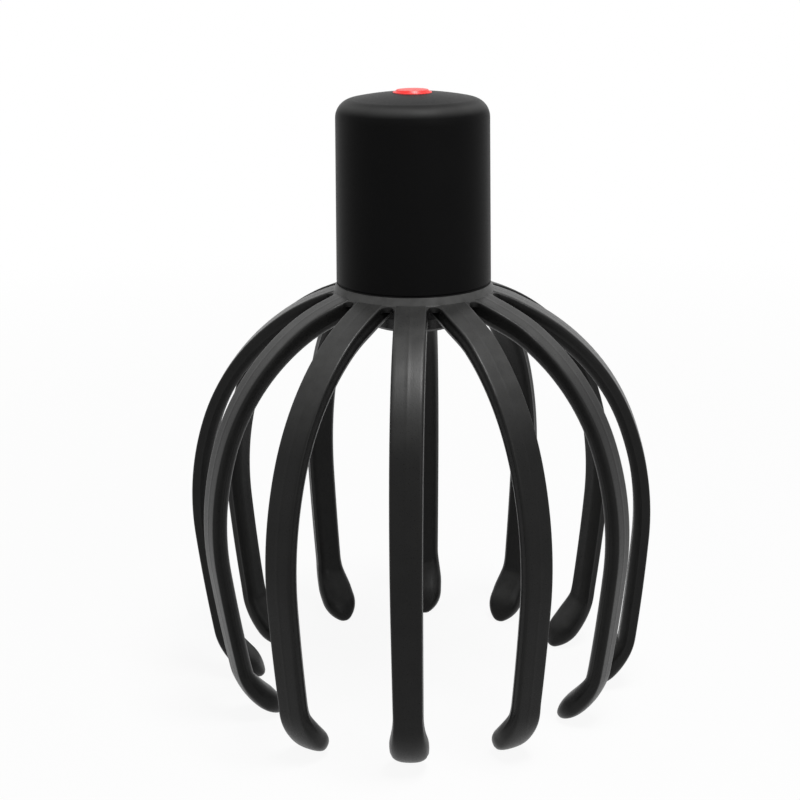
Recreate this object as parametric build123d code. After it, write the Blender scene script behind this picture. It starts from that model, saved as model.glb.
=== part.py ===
from build123d import *
from math import atan2, cos, degrees, radians, sin, sqrt, tan
import os

# Electric scalp massager: a battery handle with a push button on top, standing on a
# spider of twelve curved claws that spread over the head.
#
# Millimetres, +Z up.  Everything is drawn about the seam between handle and hub (z = 0
# there) and lifted at the end, so that the claw tips stand on z = 0.  Claw 1 points
# along -Y and the charging socket is at the back, along +Y.

# ---------------------------------------------------------------- handle housing
rim_radius = 23.0
crown_inset = 0.6
housing_height = 55.4
dome_rise = 2.85
edge_radius = 5.5
rim_chamfer = 0.4
housing_wall = 2.0

# ---------------------------------------------------------------- power button and switch
button_radius = 5.7
button_proud = 0.8
button_edge = 0.5
button_gap = 0.15
button_travel = 0.6
flange_width = 1.3
flange_thickness = 1.2
flange_gap = 0.4
stem_radius = 1.7
stem_length = 1.6
switch_size = 6.0
switch_height = 3.5
switch_corner = 0.5
plunger_radius = 1.75
plunger_height = 1.5
plunger_depth = 1.0
running_gap = 0.05

# ---------------------------------------------------------------- control board and charging jack
board_radius = 17.4
board_thickness = 1.6
post_circle = 14.4
post_radius = 2.2
board_screw_radius = 0.85
board_screw_length = 5.0
screw_gap = 0.05
jack_width = 6.4
jack_height = 5.2
jack_length = 8.6
jack_nose_radius = 2.4
jack_bore_radius = 1.3
jack_bore_length = 9.6
jack_recess = 0.3
jack_gap = 0.2
controller_length = 5.0
controller_width = 4.0
controller_height = 1.5
controller_side = -2.0
controller_back = -8.0
inductor_size = 4.0
inductor_height = 2.6
capacitor_radius = 2.0
capacitor_height = 5.0
tall_part_side = 9.5
tall_part_back = 0.5
resistor_count = 4
resistor_length = 1.6
resistor_width = 0.8
resistor_height = 0.5
resistor_pitch = 2.4
resistor_side = -6.0
resistor_back = -12.4

# ---------------------------------------------------------------- hub
gasket_height = 0.8
gasket_inset = 0.3
collar_slope = 32.0
plate_drop = 1.8
plate_thickness = 2.6
web_overhang = 1.4
web_drop = 0.8
spigot_wall = 1.7
spigot_height = 5.0
spigot_gap = 0.1
boss_spacing = 0.7
boss_wall = 2.0
boss_depth = 4.8
cap_depth = 3.7
cap_floor = 1.5
cap_edge = 0.8
cap_lip_wall = 1.3
cap_lip_height = 2.0
cap_gap = 0.1

# ---------------------------------------------------------------- claws
claw_count = 12
exit_overhang = 0.3
exit_depth = 5.44
exit_slope = 17.4
shoulder_radius = 61.0
shoulder_turn = 53.0
flank_radius = 85.0
flank_turn = 25.3
shin_radius = 600.0
shin_turn = 3.2
toe_radius = 21.0
toe_turn = 35.2
toe_length = 8.4
root_width = 9.6
shank_width = 8.4
root_thickness = 6.2
root_spacing = 0.4
shank_thickness = 5.0
edge_inset = 0.4
edge_depth = 0.5
relief_inset = 1.9
relief_depth = 2.3
grown_margin = 0.6
pad_width = 11.6
pad_thickness = 6.6
pad_neck = 14.0
pad_trim = 0.4
pad_tip_radius = 4.4
toe_tip_radius = 2.2
neck_radius = 3.6
notch_reach = 10.5

# Knuckle between hub stub and claw: the place where the moulding bends.
knuckle_reach = 6.6
knuckle_gap = 0.08
flex_out = 18.0
flex_in = 4.0
lip_margin = 0.25

# ---------------------------------------------------------------- motor
motor_radius = 10.05
motor_flat = 15.1
motor_length = 23.5
can_wall = 0.8
nose_radius = 3.05
nose_length = 1.6
nose_gap = 0.1
shaft_radius = 1.0
shaft_end = 0.3
bush_radius = 2.4
bush_length = 3.0
press_gap = 0.02
magnet_width = 11.0
magnet_length = 14.0
air_gap = 0.4
core_length = 9.0
core_hub_radius = 2.4
pole_width = 2.6
shoe_thickness = 1.2
slot_width = 1.4
coil_thickness = 1.1
coil_overhang = 1.6
coil_gap = 0.1
commutator_radius = 2.6
commutator_length = 3.2
commutator_gap = 0.8
commutator_slit = 0.3
brush_width = 2.0
brush_thickness = 0.6
end_cap_thickness = 2.2
terminal_circle = 5.0
terminal_width = 2.0
terminal_thickness = 0.5
terminal_length = 3.0
weight_swing_gap = 1.0
weight_length = 4.6
weight_hub_radius = 3.0
weight_clearance = 1.6

# ---------------------------------------------------------------- screws
pillar_inset = 0.5
pillar_radius = 2.5
pillar_height = 14.0
pillar_gap = 0.2
rib_width = 1.6
pilot_radius = 1.0
screw_head_radius = 2.1
screw_head_height = 1.4
housing_screw_length = 9.0
frame_screw_inset = 1.6
frame_screw_angle = 20.0
frame_screw_length = 2.2
frame_screw_radius = 0.8
frame_screw_head = 1.8

# ---------------------------------------------------------------- inner frame, battery and leads
frame_wall = 1.5
frame_gap = 0.1
frame_margin = 0.4
frame_flange = 1.6
sleeve_height = 14.0
finger_width = 5.0
hook_reach = 1.0
hook_height = 1.2
battery_width = 20.0
battery_thickness = 5.4
battery_height = 30.0
battery_corner = 1.2
battery_fold = 1.2
foam_thickness = 1.0
foam_width = 16.0
tray_wall = 1.2
tray_height = 12.0
lead_radius = 0.6
lead_bend = 3.0
motor_lead_place = 4.0
battery_lead_shift = 2.5

# ---------------------------------------------------------------- levels, from the sizes above
apex = housing_height
inner_apex = apex - housing_wall
crown_radius = rim_radius - crown_inset
web_radius = rim_radius + web_overhang
exit_radius = rim_radius + exit_overhang
gasket_seat = -gasket_height
plate_top = -plate_drop
plate_bottom = plate_top - plate_thickness
boss_bottom = plate_bottom - boss_depth
cap_bottom = boss_bottom - cap_depth
weight_top = plate_bottom - weight_clearance
weight_bottom = weight_top - weight_length
can_top = plate_top + motor_length
can_floor = plate_top + can_wall
nose_bottom = plate_top - nose_length
end_cap_bottom = can_top - end_cap_thickness
core_radius = motor_flat / 2 - can_wall - air_gap
core_bottom = can_floor + (magnet_length - core_length) / 2
core_top = core_bottom + core_length
commutator_bottom = core_top + coil_overhang + commutator_gap
flange_level = plate_top + frame_flange
sleeve_top = plate_top + sleeve_height
battery_front = motor_flat / 2 + frame_gap + frame_wall + foam_thickness
battery_back = battery_front + battery_thickness
battery_top = flange_level + battery_height
flange_radius = button_radius + flange_width
rim_inner_radius = rim_radius - housing_wall
spigot_radius = rim_inner_radius - spigot_gap
spigot_inner_radius = spigot_radius - spigot_wall
frame_radius = spigot_inner_radius - frame_margin
pillar_circle = spigot_inner_radius - pillar_inset - pillar_radius
boss_radius = pillar_circle - screw_head_radius - boss_spacing
weight_radius = boss_radius - boss_wall - cap_gap - cap_lip_wall - weight_swing_gap
frame_screw_circle = frame_radius - frame_screw_inset - frame_screw_head
pillar_angles = (30, 150, 270)
frame_screw_angles = (-frame_screw_angle, 180 + frame_screw_angle)


def turned(shape, angle):
    """The shape turned about the upright axis."""
    return Rot(0, 0, angle) * shape


def disc(radius, bottom, top, x=0.0, y=0.0):
    """An upright cylinder between two levels."""
    return Pos(x, y, (bottom + top) / 2) * Cylinder(radius, top - bottom)


def ring(outer, inner, bottom, top):
    """An upright tube between two levels."""
    return disc(outer, bottom, top) - disc(inner, bottom, top)


def block(*spans):
    """A box from its three spans along X, Y and Z."""
    centre = [(low + high) / 2 for low, high in spans]
    return Pos(*centre) * Box(*[high - low for low, high in spans])


def along_y(radius, start, end, x, z):
    """A cylinder that lies along Y between two places."""
    return Pos(x, (start + end) / 2, z) * Rot(90, 0, 0) * Cylinder(radius, end - start)


def spun(outline):
    """A solid of revolution about the upright axis from a closed outline of (radius, height)."""
    return revolve(Plane.XZ * make_face(outline), Axis.Z)


def corners(*points):
    """A closed outline with straight sides."""
    return Polyline(*points, close=True)


# ---------------------------------------------------------------- handle
def sphere_over(rise, radius):
    """Radius of the sphere that rises this much over a circle of this radius."""
    return (radius**2 + rise**2) / (2 * rise)


crown_sphere = sphere_over(dome_rise, crown_radius)


def ceiling(radius):
    """Height of the housing's domed ceiling at a distance from the axis."""
    sphere = crown_sphere - housing_wall
    return inner_apex - sphere + sqrt(sphere**2 - radius**2)


def side_radius(height):
    """Outer radius of the drafted side wall at a height above the seam."""
    return rim_radius - (rim_radius - crown_radius) * height / (apex - dome_rise)


def handle_form(inset):
    """The handle's outer form, or the space inside it where inset is the wall."""
    sphere = crown_sphere - inset
    top = apex - inset
    side = crown_radius - inset
    shoulder = top - sphere + sqrt(sphere**2 - side**2)
    middle = top - sphere + sqrt(sphere**2 - (side / 2) ** 2)
    outline = Polyline((0, top), (0, 0), (rim_radius - inset, 0), (side, shoulder))
    outline += ThreePointArc((side, shoulder), (side / 2, middle), (0, top))
    section = make_face(outline)
    bend = section.vertices().sort_by_distance((side, shoulder))[0]
    if inset:
        section = chamfer(bend, edge_radius - inset)
    else:
        section = fillet(bend, edge_radius)
        section = chamfer(section.vertices().sort_by_distance((rim_radius, 0))[0], rim_chamfer)
    return revolve(Plane.XZ * section, Axis.Z)


button_top = apex + button_proud
flange_top = ceiling(flange_radius) - flange_gap
flange_bottom = flange_top - flange_thickness
stem_bottom = flange_bottom - stem_length
switch_top = stem_bottom - plunger_height
board_top = switch_top - switch_height
board_bottom = board_top - board_thickness
jack_level = board_bottom - jack_height / 2
jack_mouth = side_radius(jack_level) - jack_recess
jack_wall = side_radius(jack_level) - housing_wall
jack_face = sqrt(jack_wall**2 - (jack_width / 2) ** 2) - jack_gap


def make_housing():
    """Drafted cup with a domed crown, screw pillars, board posts and two openings."""
    cavity = handle_form(housing_wall)
    for angle in pillar_angles:
        rib = block((pillar_circle, rim_radius), (-rib_width / 2, rib_width / 2),
                    (spigot_height + pillar_gap, pillar_height))
        cavity -= turned(disc(pillar_radius, 0, pillar_height, pillar_circle), angle)
        cavity -= turned(rib, angle)
        cavity -= turned(disc(post_radius, board_top, apex, post_circle), angle)
    shell = handle_form(0) - cavity
    for angle in pillar_angles:
        shell += turned(disc(pillar_radius, plate_top, 0, pillar_circle), angle)
        shell -= turned(disc(pilot_radius, plate_top, housing_screw_length, pillar_circle), angle)
        pilot = disc(board_screw_radius, board_top, board_top + board_screw_length, post_circle)
        shell -= turned(pilot, angle)
    shell -= disc(button_radius + button_gap, ceiling(button_radius) - button_gap, button_top)
    shell -= along_y(jack_nose_radius + jack_gap, jack_face, rim_radius, 0, jack_level)
    return shell


def make_button():
    """Button with a captive flange under the crown and a stem over the switch."""
    return spun(corners(
        (0, button_top), (0, stem_bottom), (stem_radius, stem_bottom), (stem_radius, flange_bottom),
        (flange_radius, flange_bottom), (flange_radius, flange_top), (button_radius, flange_top),
        (button_radius, button_top - button_edge), (button_radius - button_edge, button_top),
    ))


def make_switch():
    """Tactile switch: a square body round the plunger that moves with the button."""
    half = switch_size / 2
    well_floor = switch_top - plunger_depth - 2 * button_travel
    body = block((-half, half), (-half, half), (board_top, switch_top))
    body = chamfer(body.edges().filter_by(Axis.Z), switch_corner)
    body -= disc(plunger_radius + running_gap, well_floor, switch_top)
    return body, disc(plunger_radius, switch_top - plunger_depth, stem_bottom)


def make_board():
    """Round circuit board under the housing's posts."""
    board = disc(board_radius, board_bottom, board_top)
    for angle in pillar_angles:
        hole = disc(board_screw_radius, board_bottom, board_top, post_circle)
        board -= turned(hole, angle)
    return board


def screw(radius, length, head_radius, head_height):
    """A slotted screw that points up from z = 0, with its head below."""
    slot = head_radius / 4
    body = disc(radius, 0, length) + disc(head_radius, -head_height, 0)
    return body - block((-head_radius, head_radius), (-slot, slot), (-head_height, -head_height / 2))


def ring_of(shape, angles):
    """Copies of a shape at several angles about the upright axis, as one node."""
    return Compound([turned(shape, angle) for angle in angles])


def make_board_screws():
    """Three screws that hold the board up against its posts."""
    length = board_thickness + board_screw_length - screw_gap
    one = screw(board_screw_radius - screw_gap, length, 2 * board_screw_radius, board_screw_radius)
    return ring_of(Pos(post_circle, 0, board_bottom) * one, pillar_angles)


def make_board_components():
    """Charge controller, inductor, storage capacitor and a row of small resistors."""
    def hung(x, y, length, width, height):
        spans = (x - length / 2, x + length / 2), (y - width / 2, y + width / 2)
        return block(*spans, (board_bottom - height, board_bottom))

    controller = hung(controller_side, controller_back, controller_length, controller_width,
                      controller_height)
    inductor = hung(-tall_part_side, tall_part_back, inductor_size, inductor_size, inductor_height)
    capacitor = disc(capacitor_radius, board_bottom - capacitor_height, board_bottom,
                     tall_part_side, tall_part_back)
    resistors = [
        hung(resistor_side + resistor_pitch * place, resistor_back, resistor_length, resistor_width,
             resistor_height)
        for place in range(resistor_count)
    ]
    return Compound([controller, inductor, capacitor, *resistors])


def make_jack():
    """Charging jack hung under the board, with its round nose in the housing's wall."""
    half = jack_width / 2
    body = block((-half, half), (jack_face - jack_length, jack_face),
                 (board_bottom - jack_height, board_bottom))
    body += along_y(jack_nose_radius, jack_face, jack_mouth, 0, jack_level)
    return body - along_y(jack_bore_radius, jack_mouth - jack_bore_length, jack_mouth, 0, jack_level)


# ---------------------------------------------------------------- claws
claw_arcs = (
    (shoulder_radius, shoulder_turn),
    (flank_radius, flank_turn),
    (shin_radius, shin_turn),
    (toe_radius, toe_turn),
)
arc_ends = [0.0]
for arc_radius, arc_turn in claw_arcs:
    arc_ends.append(arc_ends[-1] + arc_radius * radians(arc_turn))
claw_length = arc_ends[-1] + toe_length
pad_radius = pad_width / 2
pad_middle = arc_ends[-1]
pad_sink = (pad_thickness - shank_thickness) / 2


def claw_point(distance, out=0.0):
    """Place and heading on the claw's centreline, or beside it, a distance out from the hub."""
    x, z, heading = exit_radius, -exit_depth, -radians(exit_slope)
    for radius, turn in claw_arcs:
        swing = min(max(distance, 0) / radius, radians(turn))
        x += radius * (sin(heading) - sin(heading - swing))
        z += radius * (cos(heading - swing) - cos(heading))
        heading -= swing
        distance -= radius * swing
    x += distance * cos(heading) - out * sin(heading)
    z += distance * sin(heading) + out * cos(heading)
    return x, z, heading


def beside(distance, out):
    """A point beside the centreline, as (radius, height)."""
    return claw_point(distance, out)[:2]


def arc_beside(start, end, out):
    """The arc that runs beside one bend of the centreline."""
    return ThreePointArc(beside(start, out), beside((start + end) / 2, out), beside(end, out))


def across(distance, out=0.0):
    """The plane that cuts the claw square at a distance: X points out, Z along the claw."""
    x, z, heading = claw_point(distance, out)
    return Plane((x, 0, z), x_dir=(-sin(heading), 0, cos(heading)), z_dir=(cos(heading), 0, sin(heading)))


def side_form(outline):
    """A side view made solid, wider than any claw."""
    return extrude(Plane.XZ * make_face(outline), 2 * root_width, both=True)


def front_form(growth):
    """The claw's front view made solid, grown sideways: it tapers from the knuckle to the tip."""
    knuckle_level, tip_level = beside(knuckle_reach, 0)[1], beside(claw_length, 0)[1]
    taper = (root_width - shank_width) / 2 / (knuckle_level - tip_level)
    high, low = knuckle_level + root_width, tip_level - root_width
    wide = root_width / 2 + growth + taper * (high - knuckle_level)
    narrow = root_width / 2 + growth + taper * (low - knuckle_level)
    outline = corners((-wide, high), (wide, high), (narrow, low), (-narrow, low))
    return extrude(Plane.YZ * make_face(outline), exit_radius + shoulder_radius + flank_radius, both=True)


def moulded(grown_outline, middle):
    """A bar with broken outer edges, drafted inwards from its parting line."""
    bar = side_form(grown_outline) & front_form(grown_margin)
    cuts = ((edge_depth, edge_inset, root_thickness), (relief_depth, relief_inset, -root_thickness))
    for depth, inset, out in cuts:
        growth = 1 + grown_margin / depth + grown_margin / inset
        for place in (0, -1):
            side = bar.faces().sort_by(Axis.Y)[place]
            edge = side.edges().sort_by_distance(across(middle, out).origin)[0]
            bar = chamfer(edge, growth * depth, growth * inset, reference=side)
    return bar & front_form(0)


def round_end(half, length, tip):
    """Side arc and tip arc of a rounded end along X, from its widest place to its tip."""
    side = (half**2 + (length - tip) ** 2 - tip**2) / 2 / (half - tip)
    lean = atan2(length - tip, side - half)
    joint = (side * sin(lean), half - side + side * cos(lean))
    side_arc = TangentArc((0, half), joint, tangent=(1, 0))
    return side_arc, TangentArc(joint, (length, 0), tangent=side_arc % 1)


def make_drop():
    """The tip pad's full round form: a drop turned about the toe's line."""
    wide, neck = (0, pad_radius), (-pad_neck, neck_radius)
    bend = (-pad_neck / 2, (pad_radius + neck_radius) / 2)
    upper = TangentArc(wide, bend, tangent=(-1, 0))
    lower = TangentArc(bend, neck, tangent=upper % 1)
    side, end = round_end(pad_radius, toe_length + pad_trim, pad_tip_radius)
    section = make_face([upper, lower, side, end, Polyline(end @ 1, (-pad_neck, 0), neck)])
    return across(pad_middle, -pad_sink) * Rot(0, -90, 0) * revolve(section, Axis.X)


def closed(outer, inner):
    """The outline between two long sides of a side view, with straight ends."""
    return [*outer, *inner, Line(outer[0] @ 0, inner[0] @ 0), Line(outer[-1] @ 1, inner[-1] @ 1)]


def claw_side(side, growth, end):
    """One long side of the claw's side view, from the knuckle to a distance in the toe's bend."""
    joint = arc_ends[1]
    heading = claw_point(joint)[2]
    out = side * (shank_thickness / 2 + growth)
    root = beside(knuckle_reach, side * (root_thickness / 2 + growth))
    shoulder = TangentArc(beside(joint, out), root, tangent=(-cos(heading), -sin(heading)))
    stops = [joint, *arc_ends[2:-1], end]
    return [shoulder, *(arc_beside(start, stop, out) for start, stop in zip(stops, stops[1:]))]


def grown_side(side):
    """The same side grown outwards, with its heel carried straight on past the knuckle."""
    line = claw_side(side, grown_margin, pad_middle)
    root, backwards = line[0] @ 1, line[0] % 1
    return [Line(root + backwards * root_thickness, root), *line]


def make_claw():
    """One claw: round knuckle, tapered shank along four bends, and a pad pressed flush outside."""
    outer, inner = claw_side(1, 0, pad_middle), claw_side(-1, 0, pad_middle - notch_reach)
    knuckle_end = beside(knuckle_reach - root_thickness / 2, 0)
    knuckle = ThreePointArc(outer[0] @ 1, knuckle_end, inner[0] @ 1)
    half_tip = round_end(pad_thickness / 2, toe_length, toe_tip_radius)
    tip = Curve([*half_tip, *(mirror(arc, Plane.XZ) for arc in half_tip)])
    x, z, heading = claw_point(pad_middle, -pad_sink)
    tip = Pos(x, z) * Rot(0, 0, degrees(heading)) * tip
    bulge = TangentArc(beside(pad_middle, -pad_sink - pad_thickness / 2), inner[-1] @ 1,
                       tangent=(-cos(heading), -sin(heading)))
    form = moulded(closed(grown_side(1), grown_side(-1)), arc_ends[1]) + make_drop()
    return side_form([*outer, *inner, knuckle, *tip.edges(), bulge]) & form


# ---------------------------------------------------------------- hub
def root_side(side, growth):
    """One long side of a claw root's side view, from inside the hub to past the knuckle."""
    start_radius = (root_width + root_spacing) / 2 / sin(radians(180 / claw_count))
    start = (start_radius - exit_radius) / cos(radians(exit_slope))
    end = knuckle_reach + root_thickness
    out = side * (root_thickness / 2 + growth)
    return [Line(beside(start - growth, out), beside(0, out)), arc_beside(0, end + growth, out)]


def make_claw_root():
    """Root of a claw on the hub, hollowed at its end to take the claw's round knuckle."""
    outline, grown = (
        closed(root_side(1, growth), root_side(-1, growth)) for growth in (0, grown_margin)
    )
    root = side_form(outline) & moulded(grown, 0)
    lip = root_thickness / 2 * tan(radians(flex_out)) + lip_margin
    beyond = block((-root_width, root_width), (-root_width, root_width), (-lip, root_width))
    root -= across(knuckle_reach) * beyond
    seat = Cylinder(root_thickness / 2 + knuckle_gap, 2 * root_width)
    return root - across(knuckle_reach) * Rot(90, 0, 0) * seat


def make_hub():
    """Hub of the spider: seat and spigot for the handle, arched webs, claw roots and boss."""
    pitch = 360 / claw_count
    half_sine = sin(radians(pitch / 2))
    arch_radius = (web_radius * half_sine - root_width / 2) / (1 - half_sine)
    arch_circle = web_radius + arch_radius
    web_reach = arch_circle * cos(radians(pitch / 2))
    web_fall = (web_reach - web_radius) * tan(radians(exit_slope))
    seat_radius = rim_radius - gasket_inset
    collar_level = gasket_seat - (web_radius - seat_radius) * tan(radians(collar_slope))
    web_level = collar_level - web_drop
    nose_hole = nose_radius + nose_gap
    hub = spun(corners(
        (nose_hole, plate_top), (nose_hole, plate_bottom), (boss_radius - boss_wall, plate_bottom),
        (boss_radius - boss_wall, boss_bottom), (boss_radius, boss_bottom), (boss_radius, plate_bottom),
        (web_reach, plate_bottom), (web_reach, web_level - web_fall), (web_radius, web_level),
        (web_radius, collar_level), (seat_radius, gasket_seat), (spigot_radius, gasket_seat),
        (spigot_radius, spigot_height), (spigot_inner_radius, spigot_height),
        (spigot_inner_radius, plate_top),
    ))
    arch = disc(arch_radius, plate_bottom, plate_top, arch_circle)
    root = make_claw_root()
    angles = [pitch * place for place in range(claw_count)]
    hub -= [turned(arch, angle + pitch / 2) for angle in angles]
    hub += [turned(root, angle) for angle in angles]
    hub -= disc(spigot_inner_radius, plate_top, spigot_height)
    screw_hole = disc(pilot_radius + pillar_gap, plate_bottom, plate_top, pillar_circle)
    screw_hole += disc(screw_head_radius + pillar_gap, plate_bottom - screw_head_height - pillar_gap,
                       plate_bottom, pillar_circle)
    hub -= [turned(screw_hole, angle) for angle in pillar_angles]
    pilot = disc(frame_screw_radius, plate_top - frame_screw_length, plate_top, frame_screw_circle)
    return hub - [turned(pilot, angle) for angle in frame_screw_angles]


def make_weight_cap():
    """Cap that closes the boss round the spinning weight."""
    lip_radius = boss_radius - boss_wall - cap_gap
    lip_top = boss_bottom + cap_lip_height
    floor = cap_bottom + cap_floor
    return spun(corners(
        (0, floor), (0, cap_bottom), (boss_radius - cap_edge, cap_bottom),
        (boss_radius, cap_bottom + cap_edge), (boss_radius, boss_bottom), (lip_radius, boss_bottom),
        (lip_radius, lip_top), (lip_radius - cap_lip_wall, lip_top), (lip_radius - cap_lip_wall, floor),
    ))


def make_gasket():
    """Flat sealing ring between the handle's rim and the hub."""
    return ring(rim_radius - gasket_inset, rim_inner_radius, gasket_seat, 0)


def make_housing_screws():
    """Three screws from below the hub's plate up into the handle's pillars."""
    length = plate_thickness + plate_drop + housing_screw_length - screw_gap
    one = screw(pilot_radius - screw_gap, length, screw_head_radius, screw_head_height)
    return ring_of(Pos(pillar_circle, 0, plate_bottom) * one, pillar_angles)


# ---------------------------------------------------------------- motor
def motor_prism(inset, bottom, top):
    """An upright solid of the motor's flattened round, an inset inside it, between two levels."""
    radius = motor_radius - inset
    half = motor_flat / 2 - inset
    return disc(radius, bottom, top) & block((-radius, radius), (-half, half), (bottom, top))


def make_can():
    """Motor can with its floor and the nose that centres it in the hub."""
    can = motor_prism(0, plate_top, can_top) - motor_prism(can_wall, can_floor, can_top)
    can += disc(nose_radius, nose_bottom, plate_top)
    return can - disc(bush_radius, nose_bottom, can_floor)


def make_bush(bottom):
    """Plain bearing bush for the motor's shaft."""
    return ring(bush_radius - press_gap, shaft_radius + running_gap, bottom, bottom + bush_length)


def make_terminals():
    """Two solder tabs that pass through the end cap."""
    half = terminal_thickness / 2
    tab = block((terminal_circle - half, terminal_circle + half),
                (-terminal_width / 2, terminal_width / 2),
                (end_cap_bottom, can_top + terminal_length))
    return ring_of(tab, (90, 270))


def make_end_cap():
    """Moulded end cap that carries the rear bush, the brushes and the terminals."""
    cap = motor_prism(can_wall + press_gap, end_cap_bottom, can_top)
    cap -= disc(bush_radius, end_cap_bottom, can_top)
    return cap - make_terminals().solids()


def make_brushes():
    """Two brushes that hang from the end cap beside the commutator."""
    inner = commutator_radius + running_gap
    side = (-brush_width / 2, brush_width / 2)
    middle = commutator_bottom + commutator_length / 2
    foot = block((inner, terminal_circle), side, (end_cap_bottom - brush_thickness, end_cap_bottom))
    blade = block((inner, inner + brush_thickness), side, (middle, end_cap_bottom))
    return ring_of(foot + blade, (90, 270))


def make_magnets():
    """Two arc magnets against the round sides of the can."""
    outer = motor_radius - can_wall - press_gap
    top = can_floor + magnet_length
    tube = ring(outer, core_radius + air_gap, can_floor, top)
    return tube & block((-outer, outer), (-magnet_width / 2, magnet_width / 2), (can_floor, top))


def make_shaft():
    """Shaft from the eccentric weight up through both bushes."""
    return disc(shaft_radius, weight_bottom - shaft_end, end_cap_bottom + bush_length + shaft_end)


def make_core():
    """Three-pole armature core with its pole shoes."""
    span = (core_bottom, core_top)
    slot = block((0, core_radius), (-slot_width / 2, slot_width / 2), span)
    pole = block((0, core_radius - shoe_thickness / 2), (-pole_width / 2, pole_width / 2), span)
    core = ring(core_radius, core_radius - shoe_thickness, *span)
    core -= [turned(slot, angle) for angle in (60, 180, 300)]
    core += [turned(pole, angle) for angle in (0, 120, 240)]
    core += disc(core_hub_radius, *span)
    return core - disc(shaft_radius + press_gap, *span)


def make_windings():
    """One coil round each pole."""
    outer, inner = core_radius - shoe_thickness - coil_gap, core_hub_radius + coil_gap
    half = pole_width / 2 + coil_thickness
    span = (core_bottom - coil_overhang, core_top + coil_overhang)
    coil = ring(outer, inner, *span) & block((0, outer), (-half, half), span)
    coil -= block((0, outer), (-pole_width / 2, pole_width / 2), (core_bottom, core_top))
    return ring_of(coil, (0, 120, 240))


def make_commutator():
    """Commutator drum with three slits."""
    top = commutator_bottom + commutator_length
    drum = ring(commutator_radius, shaft_radius + press_gap, commutator_bottom, top)
    half = commutator_slit / 2
    depth = (commutator_radius - shaft_radius) / 2
    slit = block((commutator_radius - depth, commutator_radius), (-half, half), (commutator_bottom, top))
    return drum - [turned(slit, angle) for angle in (60, 180, 300)]


def make_weight():
    """Half-round weight that shakes the hub as the shaft turns."""
    span = (weight_bottom, weight_top)
    weight = disc(weight_radius, *span)
    weight &= block((-weight_radius, weight_radius), (-weight_radius, 0), span)
    weight += disc(weight_hub_radius, *span)
    return weight - disc(shaft_radius + press_gap, *span)


# ---------------------------------------------------------------- inner frame, battery and leads
def frame_wall_between(inset, bottom, top):
    """The frame's wall round the motor between two levels, with its inner face at an inset."""
    return motor_prism(-frame_gap - frame_wall, bottom, top) - motor_prism(inset, bottom, top)


def make_frame():
    """Frame on the hub's plate: motor sleeve with two snap fingers, and battery tray."""
    hook_top = can_top + hook_height
    tray_top = plate_top + tray_height
    half_cell = battery_width / 2 + frame_gap
    half_tray = half_cell + tray_wall
    tray = block((-half_tray, half_tray), (0, battery_back + frame_gap + tray_wall), (plate_top, tray_top))
    tray += disc(frame_radius, plate_top, flange_level)
    frame = tray & disc(frame_radius, plate_top, tray_top)
    frame -= block((-half_cell, half_cell), (0, battery_back + frame_gap), (flange_level, tray_top))
    frame -= motor_prism(-frame_gap, plate_top, tray_top)
    frame += frame_wall_between(-frame_gap, plate_top, sleeve_top)
    fingers = frame_wall_between(-frame_gap, sleeve_top, hook_top)
    fingers += frame_wall_between(hook_reach, can_top, hook_top)
    frame += fingers & block((-frame_radius, frame_radius), (-finger_width / 2, finger_width / 2),
                             (sleeve_top, hook_top))
    hole = disc(pillar_radius + pillar_gap, plate_top, sleeve_top, pillar_circle)
    frame -= [turned(hole, angle) for angle in pillar_angles]
    hole = disc(frame_screw_radius + screw_gap, plate_top, flange_level, frame_screw_circle)
    hole += disc(frame_screw_head + screw_gap, flange_level, sleeve_top, frame_screw_circle)
    return frame - [turned(hole, angle) for angle in frame_screw_angles]


def make_frame_screws():
    """Two screws that hold the frame down on the hub's plate."""
    length = frame_flange + frame_screw_length - screw_gap
    one = screw(frame_screw_radius - screw_gap, length, frame_screw_head, screw_head_height)
    upside_down = Pos(frame_screw_circle, 0, flange_level) * Rot(180, 0, 0) * one
    return ring_of(upside_down, frame_screw_angles)


def make_battery():
    """Pouch cell with its sealed fold at the top."""
    half = battery_width / 2
    cell = block((-half, half), (battery_front, battery_back), (flange_level, battery_top))
    cell = chamfer(cell.edges().filter_by(Axis.Z), battery_corner)
    inner = (battery_front + battery_corner, battery_back - battery_corner)
    return cell + block((-half + battery_corner, half - battery_corner), inner,
                        (battery_top, battery_top + battery_fold))


def make_foam():
    """Foam pad between the motor sleeve and the cell."""
    return block((-foam_width / 2, foam_width / 2), (battery_front - foam_thickness, battery_front),
                 (flange_level, sleeve_top))


def lead(x, y, bottom, end_x, end_y):
    """One lead from a soldered end up to a place on the board's underside."""
    third = (board_bottom - bottom) / 3
    low, high = bottom + third, bottom + 2 * third
    route = FilletPolyline((x, y, bottom), (x, y, low), (end_x, end_y, high),
                           (end_x, end_y, board_bottom), radius=lead_bend)
    return sweep(Plane(route @ 0, z_dir=(0, 0, 1)) * Circle(lead_radius), path=route)


def make_motor_leads():
    """Two leads from the motor's terminals to the board."""
    top = can_top + terminal_length
    return Compound([
        lead(0, side * terminal_circle, top, motor_lead_place, side * motor_lead_place)
        for side in (-1, 1)
    ])


def make_battery_leads():
    """Two leads from the cell to the board, one on each side of the jack."""
    middle = (battery_front + battery_back) / 2
    top = battery_top + battery_fold
    start = jack_width / 2 + jack_gap + lead_radius
    return Compound([
        lead(side * start, middle, top, side * (start + battery_lead_shift), middle)
        for side in (-1, 1)
    ])


# ---------------------------------------------------------------- parts
switch_body, switch_plunger = make_switch()
claw = make_claw()
stand_height = -claw.bounding_box().min.Z

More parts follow.
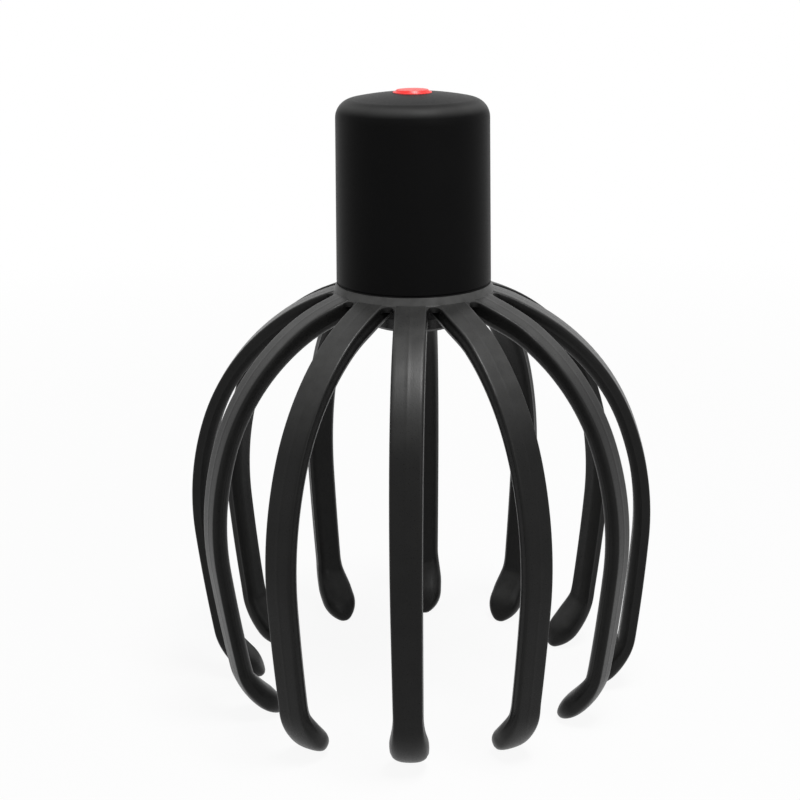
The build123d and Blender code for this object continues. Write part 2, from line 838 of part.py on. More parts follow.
parts = {
    "housing": make_housing(),
    "power_button": make_button(),
    "switch_body": switch_body,
    "switch_plunger": switch_plunger,
    "control_board": make_board(),
    "board_screws": make_board_screws(),
    "board_components": make_board_components(),
    "charging_jack": make_jack(),
    "claw_hub": make_hub(),
    "weight_cap": make_weight_cap(),
    "seam_gasket": make_gasket(),
    "housing_screws": make_housing_screws(),
    "motor_can": make_can(),
    "motor_end_cap": make_end_cap(),
    "motor_magnets": make_magnets(),
    "motor_brushes": make_brushes(),
    "motor_terminals": make_terminals(),
    "front_bush": make_bush(nose_bottom),
    "rear_bush": make_bush(end_cap_bottom),
    "motor_shaft": make_shaft(),
    "armature_core": make_core(),
    "armature_windings": make_windings(),
    "commutator": make_commutator(),
    "eccentric_weight": make_weight(),
    "inner_frame": make_frame(),
    "frame_screws": make_frame_screws(),
    "battery_cell": make_battery(),
    "battery_foam": make_foam(),
    "motor_leads": make_motor_leads(),
    "battery_leads": make_battery_leads(),
}
for place in range(claw_count):
    parts[f"claw_{place + 1:02d}"] = turned(claw, place * 360 / claw_count - 90)

os.makedirs("parts", exist_ok=True)
for name, shape in parts.items():
    export_step(Pos(0, 0, stand_height) * shape, f"parts/{name}.step")
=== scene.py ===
from math import atan2, cos, degrees, hypot, pi, radians, sin, sqrt, tan

import bmesh
import bpy
from mathutils import Matrix, Vector


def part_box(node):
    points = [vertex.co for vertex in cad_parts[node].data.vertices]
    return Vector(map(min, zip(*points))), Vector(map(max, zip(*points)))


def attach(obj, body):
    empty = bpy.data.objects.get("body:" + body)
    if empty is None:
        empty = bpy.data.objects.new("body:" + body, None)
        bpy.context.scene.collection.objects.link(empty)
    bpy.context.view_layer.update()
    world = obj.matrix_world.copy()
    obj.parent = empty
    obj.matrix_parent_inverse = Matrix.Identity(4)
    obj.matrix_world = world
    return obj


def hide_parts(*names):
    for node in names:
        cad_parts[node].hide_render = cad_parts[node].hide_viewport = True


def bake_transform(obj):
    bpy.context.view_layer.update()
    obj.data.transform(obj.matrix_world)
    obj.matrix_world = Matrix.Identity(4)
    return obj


# Electric scalp massager.  Sizes of its pieces are in millimetres about the seam between
# handle and hub, and `metres` turns them into the frame's metres above the floor.

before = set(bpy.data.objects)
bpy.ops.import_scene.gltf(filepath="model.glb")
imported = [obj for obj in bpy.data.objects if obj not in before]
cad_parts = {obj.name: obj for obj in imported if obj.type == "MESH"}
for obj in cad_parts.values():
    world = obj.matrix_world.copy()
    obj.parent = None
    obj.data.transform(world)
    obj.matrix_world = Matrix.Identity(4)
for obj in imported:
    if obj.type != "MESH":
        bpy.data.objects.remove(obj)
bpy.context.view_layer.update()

MM = 0.001
ON_AXIS = 1e-6
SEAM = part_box("seam_gasket")[1].z

# ---------------------------------------------------------------- sizes of the claws
CLAW_COUNT = 12
PITCH = 360 / CLAW_COUNT
EXIT_RADIUS = 23.3
EXIT_DEPTH = 5.44
EXIT_SLOPE = 17.4
CLAW_ARCS = ((61.0, 53.0), (85.0, 25.3), (600.0, 3.2), (21.0, 35.2))
TOE_LENGTH = 8.4
PAD_MIDDLE = sum(radius * radians(turn) for radius, turn in CLAW_ARCS)
CLAW_LENGTH = PAD_MIDDLE + TOE_LENGTH
SHOULDER_END = CLAW_ARCS[0][0] * radians(CLAW_ARCS[0][1])
KNUCKLE_REACH = 6.6
ROOT_START = -4.17
ROOT_HALF_WIDTH = 4.8
SHANK_HALF_WIDTH = 4.2
ROOT_HALF_THICKNESS = 3.1
SHANK_HALF_THICKNESS = 2.5
PARTING_RISE = 2.3
RELIEF_INSET = 1.9
PAD_RADIUS = 5.7
PAD_TIP_RADIUS = 3.2
PAD_HALF_THICKNESS = 3.45
TOE_TIP_RADIUS = 1.5
PAD_NECK = 15.5
PAD_FULL = 3.0
NOTCH_REACH = 11.0
PAD_SINK = PAD_HALF_THICKNESS - SHANK_HALF_THICKNESS
PAD_SQUARENESS = 2.7
NOTCH_SOFTNESS = 0.12

# The section of a claw: crown, edge and draft of its outer face, the fine line along its
# middle, the parting edge, and the bend of the relieved inner face.
CROWN = 0.05
EDGE_RADIUS = 0.75
DRAFT = 0.14
LINE_RISE = 0.03
LINE_HALF_WIDTH = 0.22
PARTING_PROUD = 0.06
PARTING_HALF_HEIGHT = 0.14
RELIEF_BEND = (0.42, 0.62)
INNER_FLAT = 0.55

# How far each claw of the soft moulding stands from its even place, in degrees: sideways,
# and outwards.
CLAW_SWAY = (0.0, 1.5, 2.0, -2.0, 0.0, -1.0, -1.0, 1.0, 2.0, -1.5, -1.5, -0.5)
CLAW_SPREAD = (0.5, 0.0, 0.0, 2.0, 0.0, 0.5, 0.0, 0.0, 0.0, -0.5, -2.0, 1.0)

# Distances along a claw: where its lean sets in, where its tip is brought to the floor, and
# a stretch about the joint, whose centreline points are worked out but not used.
LEAN_STRETCH = (4.0, 16.0)
LIFT_START = 40.0
JOINT_STRETCH = (3.2, 10.4)


# ---------------------------------------------------------------- mesh helpers
def metres(x, y, z):
    """A point in millimetres about the seam, in the frame's metres."""
    return Vector((x * MM, y * MM, SEAM + z * MM))


def smooth(value, low, high):
    """0 below low, 1 above high, and an even S between them."""
    share = min(max((value - low) / (high - low), 0.0), 1.0)
    return share * share * (3 - 2 * share)


def finish_mesh(name, bm, material, sharp_angle=40.0):
    """An object from a closed bmesh, smooth apart from its sharp edges."""
    bmesh.ops.recalc_face_normals(bm, faces=bm.faces)
    mesh = bpy.data.meshes.new(name)
    bm.to_mesh(mesh)
    bm.free()
    mesh.polygons.foreach_set("use_smooth", [True] * len(mesh.polygons))
    mesh.set_sharp_from_angle(angle=radians(sharp_angle))
    mesh.materials.append(material)
    piece = bpy.data.objects.new(name, mesh)
    bpy.context.collection.objects.link(piece)
    return piece


def skin(bm, rings, closed=False):
    """Faces between neighbouring rings of vertices; a ring of one vertex is a pole."""
    pairs = list(zip(rings, rings[1:]))
    if closed:
        pairs.append((rings[-1], rings[0]))
    for first, second in pairs:
        count = max(len(first), len(second))
        for i in range(count):
            j = (i + 1) % count
            loop = [first[i % len(first)], first[j % len(first)],
                    second[j % len(second)], second[i % len(second)]]
            bm.faces.new(list(dict.fromkeys(loop)))


def softened(points, radii, pieces=6):
    """A closed outline with some corners rounded: radii maps a point's number to a radius."""
    outline = []
    for i, point in enumerate(points):
        corner = Vector(point)
        if i not in radii:
            outline.append(corner)
            continue
        back = (Vector(points[i - 1]) - corner).normalized()
        ahead = (Vector(points[(i + 1) % len(points)]) - corner).normalized()
        half = back.angle(ahead) / 2
        centre = corner + (back + ahead).normalized() * radii[i] / sin(half)
        start = corner + back * radii[i] / tan(half) - centre
        end = corner + ahead * radii[i] / tan(half) - centre
        swing = start.angle_signed(end)
        for k in range(pieces + 1):
            outline.append(centre + Matrix.Rotation(-swing * k / pieces, 2) @ start)
    return outline


def lathe(name, outline, material, steps=160):
    """A solid turned about the upright axis from an outline that starts and ends on it."""
    bm = bmesh.new()
    rings = []
    for radius, height in outline:
        if radius < ON_AXIS:
            rings.append([bm.verts.new(metres(0, 0, height))])
            continue
        angles = [2 * pi * i / steps for i in range(steps)]
        rings.append([
            bm.verts.new(metres(radius * cos(a), radius * sin(a), height)) for a in angles
        ])
    skin(bm, rings)
    return finish_mesh(name, bm, material)


# ---------------------------------------------------------------- materials
# Noise stays mostly between these two levels, and is spread out over the span between them.
NOISE_LOW, NOISE_HIGH = 0.3, 0.7
PATCH_LOW, PATCH_HIGH, PATCH_LEAST = 0.35, 0.65, 0.7


def moulded(name, colour, roughness, grain=2200.0, grain_depth=0.00003, spread=0.08,
            roughness_spread=0.06, mottle=60.0, metallic=0.0, specular=0.5, dust_and_painted_highlight=None,
            dust_and_highlight_tilt=(0.35, 0.9, 1.0)):
    """A moulded, cast or drawn surface: fine grain, faint mottling and uneven gloss.

    The paler colour for up-facing faces is partly dust and partly a painted highlight, light
    from above painted into the base colour.  It starts at the first upward part of the surface's
    normal, is full at the second, and is left at the third as a share of that on a level face.
    """
    material = bpy.data.materials.new(name)
    material.use_nodes = True
    nodes, links = material.node_tree.nodes, material.node_tree.links
    shader = nodes["Principled BSDF"]
    shader.inputs["Metallic"].default_value = metallic
    shader.inputs["Specular IOR Level"].default_value = specular
    where = nodes.new("ShaderNodeTexCoord")

    def noise(scale, detail):
        node = nodes.new("ShaderNodeTexNoise")
        node.inputs["Scale"].default_value = scale
        node.inputs["Detail"].default_value = detail
        links.new(where.outputs["Object"], node.inputs["Vector"])
        return node

    cloud, fine = noise(mottle, 4.0), noise(grain, 2.0)
    ramp = nodes.new("ShaderNodeValToRGB")
    for stop, (level, share) in enumerate(((NOISE_LOW, 1 - spread), (NOISE_HIGH, 1 + spread))):
        ramp.color_ramp.elements[stop].position = level
        ramp.color_ramp.elements[stop].color = (*[channel * share for channel in colour], 1)
    links.new(cloud.outputs["Fac"], ramp.inputs["Fac"])
    links.new(ramp.outputs["Color"], shader.inputs["Base Color"])
    # Painted highlight, partly dust: faces turned up are made paler, as if lit from above.
    if dust_and_painted_highlight:
        first_tilt, full_tilt, level_share = dust_and_highlight_tilt
        facing = nodes.new("ShaderNodeSeparateXYZ")
        links.new(where.outputs["Normal"], facing.inputs["Vector"])
        upward = nodes.new("ShaderNodeValToRGB")
        upward.color_ramp.interpolation = "EASE"
        for stop, (tilt, share) in enumerate(((first_tilt, 0.0), (full_tilt, 1.0))):
            upward.color_ramp.elements[stop].position = tilt
            upward.color_ramp.elements[stop].color = (share, share, share, 1)
        level_face = upward.color_ramp.elements.new(1.0)
        level_face.color = (level_share, level_share, level_share, 1)
        links.new(facing.outputs["Z"], upward.inputs["Fac"])
        patches = nodes.new("ShaderNodeMapRange")
        patches.inputs["From Min"].default_value = PATCH_LOW
        patches.inputs["From Max"].default_value = PATCH_HIGH
        patches.inputs["To Min"].default_value = PATCH_LEAST
        links.new(cloud.outputs["Fac"], patches.inputs["Value"])
        amount = nodes.new("ShaderNodeMath")
        amount.operation = "MULTIPLY"
        links.new(upward.outputs["Color"], amount.inputs[0])
        links.new(patches.outputs["Result"], amount.inputs[1])
        dust_and_highlight_mix = nodes.new("ShaderNodeMix")
        dust_and_highlight_mix.data_type = "RGBA"
        dust_and_highlight_mix.inputs["B"].default_value = (*dust_and_painted_highlight, 1)
        links.new(amount.outputs[0], dust_and_highlight_mix.inputs["Factor"])
        links.new(ramp.outputs["Color"], dust_and_highlight_mix.inputs["A"])
        links.new(dust_and_highlight_mix.outputs["Result"], shader.inputs["Base Color"])
    gloss = nodes.new("ShaderNodeMapRange")
    gloss.inputs["From Min"].default_value = NOISE_LOW
    gloss.inputs["From Max"].default_value = NOISE_HIGH
    gloss.inputs["To Min"].default_value = roughness - roughness_spread
    gloss.inputs["To Max"].default_value = roughness + roughness_spread
    links.new(fine.outputs["Fac"], gloss.inputs["Value"])
    links.new(gloss.outputs["Result"], shader.inputs["Roughness"])
    bump = nodes.new("ShaderNodeBump")
    bump.inputs["Distance"].default_value = grain_depth
    links.new(fine.outputs["Fac"], bump.inputs["Height"])
    links.new(bump.outputs["Normal"], shader.inputs["Normal"])
    return material


# Shell, claws and hub get a paler colour on up-facing faces: partly dust and partly a painted
# highlight of the lamp above.
SHELL = moulded("soft_touch_black", (0.0045, 0.0045, 0.0046), 0.42, grain=3200.0,
                grain_depth=0.000012, specular=0.035,
                dust_and_painted_highlight=(0.05, 0.05, 0.0495), dust_and_highlight_tilt=(0.3, 0.75, 0.2))
CLAW = moulded("claw_rubber_satin", (0.006, 0.006, 0.0058), 0.34, grain=2600.0,
               grain_depth=0.00002, spread=0.16, roughness_spread=0.08, mottle=180.0,
               specular=0.16, dust_and_painted_highlight=(0.045, 0.045, 0.0442), dust_and_highlight_tilt=(0.4, 0.8, 0.6))
HUB = moulded("hub_rubber_satin", (0.006, 0.006, 0.0058), 0.4, grain=2000.0,
              grain_depth=0.00004, spread=0.2, roughness_spread=0.08, mottle=320.0, specular=0.14,
              dust_and_painted_highlight=(0.07, 0.07, 0.0688), dust_and_highlight_tilt=(0.2, 0.48, 0.4))
CAP = moulded("hub_cap_black", (0.006, 0.006, 0.006), 0.3, grain=2600.0, grain_depth=0.00001,
              specular=0.3)
GASKET = moulded("seal_rubber", (0.004, 0.004, 0.004), 0.7, grain_depth=0.00001, specular=0.2)
RED = moulded("button_red", (0.86, 0.022, 0.018), 0.36, grain=2400.0, grain_depth=0.00001,
              spread=0.03, roughness_spread=0.03)
FRAME_PLASTIC = moulded("frame_grey_plastic", (0.045, 0.047, 0.05), 0.5)
BOARD = moulded("board_green_laminate", (0.01, 0.11, 0.045), 0.35, grain=900.0, spread=0.15)
COMPONENT = moulded("component_black_resin", (0.02, 0.02, 0.022), 0.45)
PLUNGER = moulded("switch_plunger_cream", (0.62, 0.58, 0.48), 0.4, spread=0.04)
JACK = moulded("jack_black_plastic", (0.008, 0.008, 0.008), 0.4, specular=0.12)
SCREW = moulded("screw_zinc_steel", (0.58, 0.57, 0.55), 0.28, metallic=1.0, spread=0.05)
CAN = moulded("can_plated_steel", (0.62, 0.62, 0.61), 0.24, metallic=1.0, spread=0.04)
NYLON = moulded("end_cap_white_nylon", (0.68, 0.67, 0.62), 0.5, spread=0.03)
FERRITE = moulded("magnet_dark_ferrite", (0.06, 0.06, 0.062), 0.6, spread=0.12)
BRASS = moulded("contact_brass", (0.72, 0.5, 0.2), 0.3, metallic=1.0, spread=0.06)
BRONZE = moulded("bush_sintered_bronze", (0.5, 0.3, 0.15), 0.5, metallic=1.0, spread=0.15)
CORE = moulded("core_steel_sheets", (0.33, 0.33, 0.34), 0.4, metallic=1.0, spread=0.1)
COPPER = moulded("winding_enamelled_copper", (0.6, 0.2, 0.08), 0.3, grain=1500.0, metallic=1.0)
WEIGHT = moulded("weight_sintered_alloy", (0.3, 0.3, 0.31), 0.5, metallic=1.0, spread=0.1)
CELL = moulded("cell_silver_pouch", (0.6, 0.6, 0.62), 0.36, grain=400.0, metallic=0.8, spread=0.05)
FOAM = moulded("foam_charcoal", (0.03, 0.03, 0.032), 0.95, grain=1400.0, grain_depth=0.0002,
               spread=0.3)
LEAD_RED = moulded("lead_red_silicone", (0.55, 0.02, 0.015), 0.45, spread=0.05)
LEAD_BLACK = moulded("lead_black_silicone", (0.02, 0.02, 0.02), 0.45, spread=0.05)

# Nodes that are seen as their solids, each with its look.
CARRIED_OVER = {
    "housing": SHELL,
    "weight_cap": CAP,
    "seam_gasket": GASKET,
    "housing_screws": SCREW,
    "switch_body": COMPONENT,
    "switch_plunger": PLUNGER,
    "control_board": BOARD,
    "board_screws": SCREW,
    "board_components": COMPONENT,
    "charging_jack": JACK,
    "motor_can": CAN,
    "motor_end_cap": NYLON,
    "motor_magnets": FERRITE,
    "motor_brushes": BRASS,
    "motor_terminals": BRASS,
    "front_bush": BRONZE,
    "rear_bush": BRONZE,
    "motor_shaft": SCREW,
    "armature_core": CORE,
    "armature_windings": COPPER,
    "commutator": BRASS,
    "eccentric_weight": WEIGHT,
    "inner_frame": FRAME_PLASTIC,
    "frame_screws": SCREW,
    "battery_cell": CELL,
    "battery_foam": FOAM,
    "motor_leads": LEAD_RED,
    "battery_leads": LEAD_BLACK,
}
for node, material in CARRIED_OVER.items():
    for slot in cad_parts[node].material_slots:
        slot.material = material


# ---------------------------------------------------------------- claws
def claw_line(distance):
    """Place and heading on a claw's centreline, as radius, height and heading."""
    x, z, heading = EXIT_RADIUS, -EXIT_DEPTH, -radians(EXIT_SLOPE)
    for radius, turn in CLAW_ARCS:
        swing = min(max(distance, 0) / radius, radians(turn))
        x += radius * (sin(heading) - sin(heading - swing))
        z += radius * (cos(heading - swing) - cos(heading))
        heading -= swing
        distance -= radius * swing
    return x + distance * cos(heading), z + distance * sin(heading), heading


KNUCKLE = claw_line(KNUCKLE_REACH)
TIP_LEVEL = claw_line(CLAW_LENGTH)[1]
WIDTH_TAPER = (ROOT_HALF_WIDTH - SHANK_HALF_WIDTH) / (KNUCKLE[1] - TIP_LEVEL)


def round_end(half, tip, past):
    """Half size of the toe's rounded end: a side arc that runs into a tip arc."""
    reach = TOE_LENGTH - tip
    side = (half ** 2 + reach ** 2 - tip ** 2) / 2 / (half - tip)
    if past < side * sin(atan2(reach, side - half)):
        return sqrt(side ** 2 - past ** 2) - side + half
    return sqrt(max(tip ** 2 - (past - reach) ** 2, 0.0))


def pad_half_width(past, shank):
    """Half width of the tip's leaf outline at a distance past the middle of the pad."""
    if past > 0:
        return round_end(PAD_RADIUS, PAD_TIP_RADIUS, past)
    return shank + (PAD_RADIUS - shank) * smooth(past, -PAD_NECK, -PAD_FULL)


def pad_levels(past):
    """Outer and inner face of the pad's side view at a distance past its middle."""
    if past > 0:
        thick = round_end(PAD_HALF_THICKNESS, TOE_TIP_RADIUS, past)
        return thick - PAD_SINK, -thick - PAD_SINK
    rise = 1 - (past / NOTCH_REACH) ** 2
    bulge = 2 * PAD_SINK * (rise + hypot(rise, NOTCH_SOFTNESS)) / 2
    return SHANK_HALF_THICKNESS, -SHANK_HALF_THICKNESS - bulge


def shank_section(half_width, half_thickness):
    """Right half of a claw's section, from the outer middle round to the inner middle."""
    top = half_thickness
    points = [(0.0, top + LINE_RISE), (LINE_HALF_WIDTH, top)]
    flat = half_width - DRAFT - EDGE_RADIUS
    for share in (0.3, 0.6, 0.85, 1.0):
        points.append((flat * share, top - CROWN * share ** 2))
    for turn in (20, 42, 64, 86):
        across = flat + EDGE_RADIUS * sin(radians(turn))
        points.append((across, top - CROWN - EDGE_RADIUS * (1 - cos(radians(turn)))))
    parting = PARTING_RISE - half_thickness
    points.append((half_width - 0.5 * DRAFT, (top - CROWN - EDGE_RADIUS + parting) / 2))
    points += [(half_width - 0.01, parting + PARTING_HALF_HEIGHT),
               (half_width + PARTING_PROUD, parting),
               (half_width - 0.03, parting - PARTING_HALF_HEIGHT)]
    bend = (half_width - RELIEF_BEND[0], RELIEF_BEND[1] - half_thickness)
    foot = (half_width - RELIEF_INSET, -half_thickness)
    start = points[-1]
    for share in (0.2, 0.4, 0.6, 0.8, 1.0):
        points.append(tuple(
            (1 - share) ** 2 * a + 2 * share * (1 - share) * b + share ** 2 * c
            for a, b, c in zip(start, bend, foot)
        ))
    points += [(foot[0] * INNER_FLAT, -half_thickness), (0.0, -half_thickness)]
    return points


def claw_section(distance):
    """The whole section of a claw at a distance along it, as (sideways, outwards) points."""
    level = claw_line(distance)[1]
    half_width = ROOT_HALF_WIDTH + WIDTH_TAPER * (level - KNUCKLE[1])
    thinning = min(max((SHOULDER_END - distance) / (SHOULDER_END - KNUCKLE_REACH), 0.0), 1.0)
    half_thickness = (
        SHANK_HALF_THICKNESS + (ROOT_HALF_THICKNESS - SHANK_HALF_THICKNESS) * thinning ** 2
    )
    points = shank_section(half_width, half_thickness)
    past = distance - PAD_MIDDLE
    if past > -PAD_NECK:
        wide = pad_half_width(past, half_width)
        outer, inner = pad_levels(past)
        middle, thick = (outer + inner) / 2, (outer - inner) / 2
        share = smooth(past, 1 - PAD_NECK, -PAD_FULL)
        pad = []
        for side, out in points:
            turn = atan2(out / half_thickness, side / half_width)
            reach = (
                abs(cos(turn)) ** PAD_SQUARENESS + abs(sin(turn)) ** PAD_SQUARENESS
            ) ** (-1 / PAD_SQUARENESS)
            pad.append((cos(turn) * reach, sin(turn) * reach))
        points = [
            (wide * (a[0] / half_width * (1 - share) + b[0] * share),
             middle + thick * (a[1] / half_thickness * (1 - share) + b[1] * share))
            for a, b in zip(points, pad)
        ]
    left = [(-side, out) for side, out in points[-2:0:-1]]
    return points + left


def claw_stations():
    """Distances of a claw's sections, close together where the form changes quickly."""
    neck = PAD_MIDDLE - PAD_NECK
    stations = []
    for start, end, count in ((ROOT_START, KNUCKLE_REACH, 8), (KNUCKLE_REACH, neck, 52),
                              (neck, PAD_MIDDLE, 24)):
        stations += [start + (end - start) * i / count for i in range(count)]
    count = 18
    stations += [
        PAD_MIDDLE + TOE_LENGTH * sin(radians(90 * i / count)) for i in range(count)
    ]
    return stations


def claw_spot(number, distance, side, out):
    """A point of a claw in millimetres: sideways and outwards of its line, at its own lean."""
    x, z, heading = claw_line(distance)
    x, z = x - out * sin(heading), z + out * cos(heading)
    give = smooth(distance, *LEAN_STRETCH)
    spread = radians(CLAW_SPREAD[number]) * give
    dx, dz = x - KNUCKLE[0], z - KNUCKLE[1]
    x = KNUCKLE[0] + dx * cos(spread) - dz * sin(spread)
    z = KNUCKLE[1] + dx * sin(spread) + dz * cos(spread)
    angle = radians(number * PITCH - 90 + CLAW_SWAY[number] * give)
    return Vector((x * cos(angle) - side * sin(angle), x * sin(angle) + side * cos(angle), z))


def make_arm(number):
    """One claw from inside the hub to its rounded tip, in one skin, with its tip on the floor."""
    stations = [*claw_stations(), CLAW_LENGTH]
    sections = [claw_section(distance) for distance in stations[:-1]] + [[(0.0, -PAD_SINK)]]
    spots = [
        [claw_spot(number, distance, side, out) for side, out in section]
        for distance, section in zip(stations, sections)
    ]
    lift = -SEAM / MM - min(point.z for ring in spots for point in ring)
    bm = bmesh.new()
    rings = [
        [bm.verts.new(metres(x, y, z + lift * smooth(distance, LIFT_START, PAD_MIDDLE)))
         for x, y, z in ring]
        for distance, ring in zip(stations, spots)
    ]
    bm.faces.new(rings[0])
    skin(bm, rings)
    arm = finish_mesh(f"arm_{number + 1:02d}", bm, CLAW, sharp_angle=60.0)
    body = f"claw_{number + 1:02d}"
    line = [claw_line(distance) for distance in JOINT_STRETCH]
    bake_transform(arm)
    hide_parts(body)


for number in range(CLAW_COUNT):
    make_arm(number)

# ---------------------------------------------------------------- hub
WEB_RADIUS = 24.4
WEB_LEVEL = -2.66
ARCH_RADIUS = 2.04
ARCH_CIRCLE = 26.44
ARCH_HALF_TURN, ARCH_STEPS = 75, 20
BURIED_DEPTH, BURIED_STEPS = 0.5, 6
PLATE_BOTTOM = -4.4
PLATE_EDGE = 22.5
SHAFT_HOLE = 3.15
SEAT_LEVEL = -1.8
BOSS_INSIDE, BOSS_OUTSIDE, BOSS_BOTTOM = 11.4, 13.4, -9.2
SPIGOT_INSIDE, SPIGOT_OUTSIDE, SPIGOT_TOP = 19.2, 20.9, 5.0
GROOVE_LEVEL, GROOVE_BOTTOM_RADIUS, GROOVE_TOP_RADIUS = -0.8, 22.74, 22.78
COLLAR_TOP, COLLAR_RADIUS = -0.3, 23.0
COLLAR_FOOT, COLLAR_REACH = 24.0, 24.64
COLLAR_INSET = 0.24


def arch_samples():
    """Angle and edge radius of the scalloped web, from one claw's middle to the next."""
    arch = []
    for i in range(ARCH_STEPS + 1):
        turn = radians(-ARCH_HALF_TURN + 2 * ARCH_HALF_TURN * i / ARCH_STEPS)
        x, y = ARCH_CIRCLE - ARCH_RADIUS * cos(turn), ARCH_RADIUS * sin(turn)
        arch.append((degrees(atan2(y, x)), hypot(x, y)))
    reach, limit = arch[-1][1], arch[-1][0]
    buried = [
        (limit + (PITCH / 2 - limit) * i / BURIED_STEPS, reach - BURIED_DEPTH * i / BURIED_STEPS)
        for i in range(1, BURIED_STEPS + 1)
    ]
    return [(-angle, radius) for angle, radius in reversed(buried[:-1])] + arch + buried


def make_hub():
    """Hub: seat, spigot, collar, scalloped web and the boss round the weight."""
    core = softened(
        [(SHAFT_HOLE, SEAT_LEVEL), (SHAFT_HOLE, PLATE_BOTTOM), (BOSS_INSIDE, PLATE_BOTTOM),
         (BOSS_INSIDE, BOSS_BOTTOM), (BOSS_OUTSIDE, BOSS_BOTTOM), (BOSS_OUTSIDE, PLATE_BOTTOM),
         (PLATE_EDGE, PLATE_BOTTOM)],
        {4: 0.35, 5: 0.5},
    )
    collar = softened(
        [(COLLAR_REACH, WEB_LEVEL - 0.08), (COLLAR_FOOT, WEB_LEVEL + 0.12),
         (COLLAR_RADIUS, COLLAR_TOP), (GROOVE_TOP_RADIUS, COLLAR_TOP),
         (GROOVE_BOTTOM_RADIUS, GROOVE_LEVEL), (SPIGOT_OUTSIDE, GROOVE_LEVEL),
         (SPIGOT_OUTSIDE, SPIGOT_TOP), (SPIGOT_INSIDE, SPIGOT_TOP), (SPIGOT_INSIDE, SEAT_LEVEL)],
        {1: 0.5, 2: 0.15},
    )
    bm = bmesh.new()
    samples = []
    for number in range(CLAW_COUNT):
        middle = number * PITCH - 90 + PITCH / 2
        samples += [(radians(middle + angle), radius) for angle, radius in arch_samples()]
    fall = tan(radians(EXIT_SLOPE))
    broken_edge = [(-0.22, 0.0), (-0.06, 0.06), (0.0, 0.22)]

    def ring(radius_at, height_at):
        return [
            bm.verts.new(metres(radius_at(r) * cos(a), radius_at(r) * sin(a), height_at(r)))
            for a, r in samples
        ]

    rings = [ring(lambda r, p=point: p[0], lambda r, p=point: p[1]) for point in core]
    for inset, rise in broken_edge:
        rings.append(ring(lambda r, d=inset: r + d, lambda r, h=rise: PLATE_BOTTOM + h))
    for inset, rise in reversed(broken_edge):
        rings.append(ring(
            lambda r, d=inset: r + d,
            lambda r, h=rise: WEB_LEVEL - (r - WEB_RADIUS) * fall - h,
        ))
    for point in collar[1:]:
        rings.append(ring(
            lambda r, p=point: min(p[0], r - COLLAR_INSET),
            lambda r, p=point: p[1],
        ))
    skin(bm, rings, closed=True)
    hub = finish_mesh("hub_body", bm, HUB, sharp_angle=35.0)
    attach(hub, "housing")
    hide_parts("claw_hub")


make_hub()

# ---------------------------------------------------------------- power button
APEX = 55.4
BUTTON_PROUD = 0.8
BUTTON_RADIUS = 5.7
FACE_RISE = 0.25
RIM_RADIUS = 0.3
STEM_RADIUS, STEM_LENGTH = 1.7, 1.6
FLANGE_RADIUS, FLANGE_THICKNESS = 7.0, 1.2


def make_button():
    """Button with a softly crowned face, a rounded rim, its captive flange and its stem."""
    top = APEX + BUTTON_PROUD
    stem_bottom = (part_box("power_button")[0].z - SEAM) / MM
    flange_bottom = stem_bottom + STEM_LENGTH
    flange_top = flange_bottom + FLANGE_THICKNESS
    face = [(BUTTON_RADIUS * share, top - FACE_RISE * share ** 2)
            for share in (0.0, 0.2, 0.4, 0.6, 0.8)]
    corners = [(0.0, stem_bottom), (STEM_RADIUS, stem_bottom), (STEM_RADIUS, flange_bottom),
               (FLANGE_RADIUS, flange_bottom), (FLANGE_RADIUS, flange_top),
               (BUTTON_RADIUS, flange_top), (BUTTON_RADIUS, top - FACE_RISE)]
    side = softened(corners, {6: RIM_RADIUS}, pieces=8)
    kept = [tuple(point) for point in side if point[0] > face[-1][0] or point[1] < top - 1]
    button_cap = lathe("button_cap", kept + face[::-1], RED)
    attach(button_cap, "button")
    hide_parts("power_button")


make_button()


# ---------------------------------------------------------------- floor, light and camera
FILL_LEVEL, WHITE_LEVEL = 0.22, 1.0

# Name, place, aim, size and watts of each lamp.
SOFTBOXES = (
    ("key_softbox", (0.13, -0.16, 0.78), (0.0, 0.0, 0.16), (0.24, 0.24), 4.4),
    ("front_softbox", (0.5, -0.7, 0.5), (0.0, 0.0, 0.1), (0.4, 0.5), 1.0),
    ("left_softbox", (-0.7, -0.2, 0.4), (0.0, 0.0, 0.12), (0.5, 0.6), 0.2),
)


def make_floor():
    """Plain pale floor that keeps the object's shadow and runs into the white around it."""
    half = 6.0
    near, far = 0.12, 0.7
    glow_near, glow_far = 0.92, 1.0
    mesh = bpy.data.meshes.new("floor")
    mesh.from_pydata([(-half, -half, 0), (half, -half, 0), (half, half, 0), (-half, half, 0)], [],
                     [(0, 1, 2, 3)])
    floor = bpy.data.objects.new("floor", mesh)
    bpy.context.collection.objects.link(floor)
    material = bpy.data.materials.new("pale_floor")
    material.use_nodes = True
    nodes, links = material.node_tree.nodes, material.node_tree.links
    nodes.clear()
    paint = nodes.new("ShaderNodeBsdfDiffuse")
    paint.inputs["Color"].default_value = (0.86, 0.86, 0.86, 1)
    glow = nodes.new("ShaderNodeEmission")
    glow.inputs["Color"].default_value = (1, 1, 1, 1)
    mix = nodes.new("ShaderNodeMixShader")
    output = nodes.new("ShaderNodeOutputMaterial")
    where = nodes.new("ShaderNodeTexCoord")
    reach = nodes.new("ShaderNodeVectorMath")
    reach.operation = "LENGTH"
    links.new(where.outputs["Object"], reach.inputs[0])
    share = nodes.new("ShaderNodeMapRange")
    share.inputs["From Min"].default_value = near
    share.inputs["From Max"].default_value = far
    share.inputs["To Min"].default_value = glow_near
    share.inputs["To Max"].default_value = glow_far
    links.new(reach.outputs["Value"], share.inputs["Value"])
    share = seen_directly(nodes, links, share.outputs["Result"])
    links.new(share, mix.inputs["Fac"])
    links.new(paint.outputs["BSDF"], mix.inputs[1])
    links.new(glow.outputs["Emission"], mix.inputs[2])
    links.new(mix.outputs["Shader"], output.inputs["Surface"])
    mesh.materials.append(material)


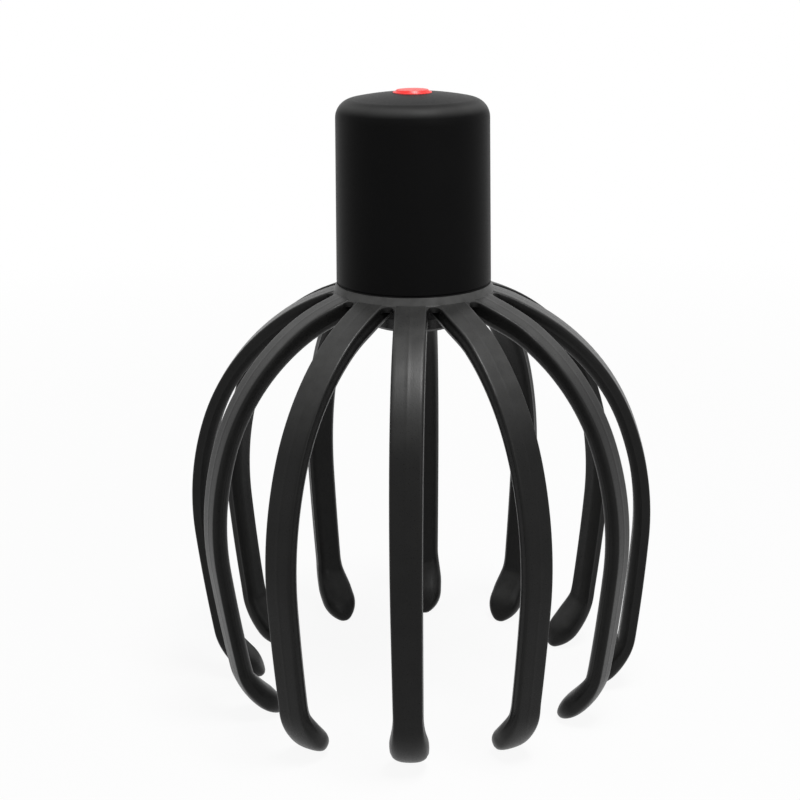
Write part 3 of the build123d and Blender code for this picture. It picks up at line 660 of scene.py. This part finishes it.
def seen_directly(nodes, links, share=None):
    """A share for what the camera, a reflection or a clear surface sees, and 0 for the rest."""
    path = nodes.new("ShaderNodeLightPath")
    total = path.outputs["Is Camera Ray"]
    for name in ("Is Glossy Ray", "Is Transmission Ray"):
        add = nodes.new("ShaderNodeMath")
        add.operation = "ADD"
        add.use_clamp = True
        links.new(total, add.inputs[0])
        links.new(path.outputs[name], add.inputs[1])
        total = add.outputs[0]
    if share is None:
        return total
    scale = nodes.new("ShaderNodeMath")
    scale.operation = "MULTIPLY"
    links.new(total, scale.inputs[0])
    links.new(share, scale.inputs[1])
    return scale.outputs[0]


def make_world():
    """White background for the eye, and a dimmer even fill for the surfaces."""
    world = bpy.data.worlds.new("studio")
    bpy.context.scene.world = world
    world.use_nodes = True
    nodes, links = world.node_tree.nodes, world.node_tree.links
    background = nodes["Background"]
    background.inputs["Color"].default_value = (1, 1, 1, 1)
    level = nodes.new("ShaderNodeMapRange")
    level.inputs["To Min"].default_value = FILL_LEVEL
    level.inputs["To Max"].default_value = WHITE_LEVEL
    links.new(seen_directly(nodes, links), level.inputs["Value"])
    links.new(level.outputs["Result"], background.inputs["Strength"])


def softbox(name, spot, aim, size, power):
    """A rectangular area lamp at a spot, turned towards an aim."""
    lamp = bpy.data.lights.new(name, "AREA")
    lamp.shape = "RECTANGLE"
    lamp.size, lamp.size_y = size
    lamp.energy = power
    holder = bpy.data.objects.new(name, lamp)
    holder.location = spot
    direction = Vector(aim) - Vector(spot)
    holder.rotation_euler = direction.to_track_quat("-Z", "Y").to_euler()
    bpy.context.collection.objects.link(holder)


def make_camera():
    """Camera fitted to the photograph: in front, above the claws, looking a little down."""
    azimuth, distance, height = radians(2.199), 0.473185, SEAM + 0.1048
    tilt, yaw, roll = radians(16.719), radians(2.738), radians(-0.574)
    turn = Matrix.Rotation(yaw, 3, "Z")
    right = turn @ Vector((1, 0, 0))
    up = turn @ Vector((0, sin(tilt), cos(tilt)))
    back = turn @ Vector((0, -cos(tilt), sin(tilt)))
    across = right * cos(roll) + up * sin(roll)
    upwards = up * cos(roll) - right * sin(roll)
    camera = bpy.data.objects.new("camera", bpy.data.cameras.new("camera"))
    camera.data.lens = 72.99
    camera.data.sensor_width = 36.0
    camera.data.clip_start = 0.01
    matrix = Matrix((across, upwards, back)).transposed().to_4x4()
    matrix.translation = (distance * sin(azimuth), -distance * cos(azimuth), height)
    camera.matrix_world = matrix
    bpy.context.collection.objects.link(camera)
    bpy.context.scene.camera = camera


make_floor()
make_world()
for name, spot, aim, size, power in SOFTBOXES:
    softbox(name, spot, aim, size, power)
make_camera()
bpy.context.scene.view_settings.view_transform = "Standard"
